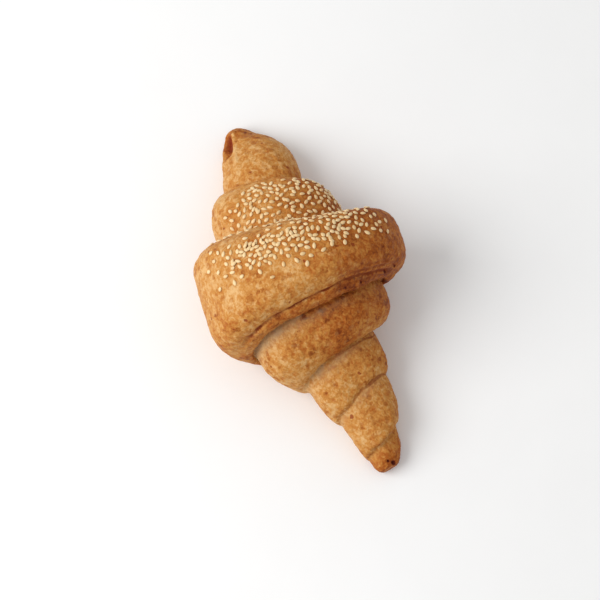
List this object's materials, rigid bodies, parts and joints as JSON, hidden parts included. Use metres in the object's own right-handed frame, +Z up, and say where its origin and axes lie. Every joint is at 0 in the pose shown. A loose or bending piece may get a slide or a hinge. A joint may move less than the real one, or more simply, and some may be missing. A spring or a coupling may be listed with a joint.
{
  "type": "wholemeal sesame croissant",
  "caption": "Straight croissant rolled from one triangle of dough, with a broad middle band, stepped rings tapering to both ends, a flat base and sesame seeds on its crown.",
  "frame": {"origin": "on the tray, under the centre of the roll's bounding box", "axes": "+Z up, +X along the roll's axis towards the end with the many small rings, +Y across the roll towards the side where its outer band narrows"},
  "size_m": [0.1886, 0.1009, 0.0746],
  "materials": {
    "crust": "baked wholemeal dough, golden to brown, dry and matte",
    "sesame": "toasted white sesame, softly satin"
  },
  "bodies": {
    "root": {"croissant": "crust"}
  },
  "joints": []
}
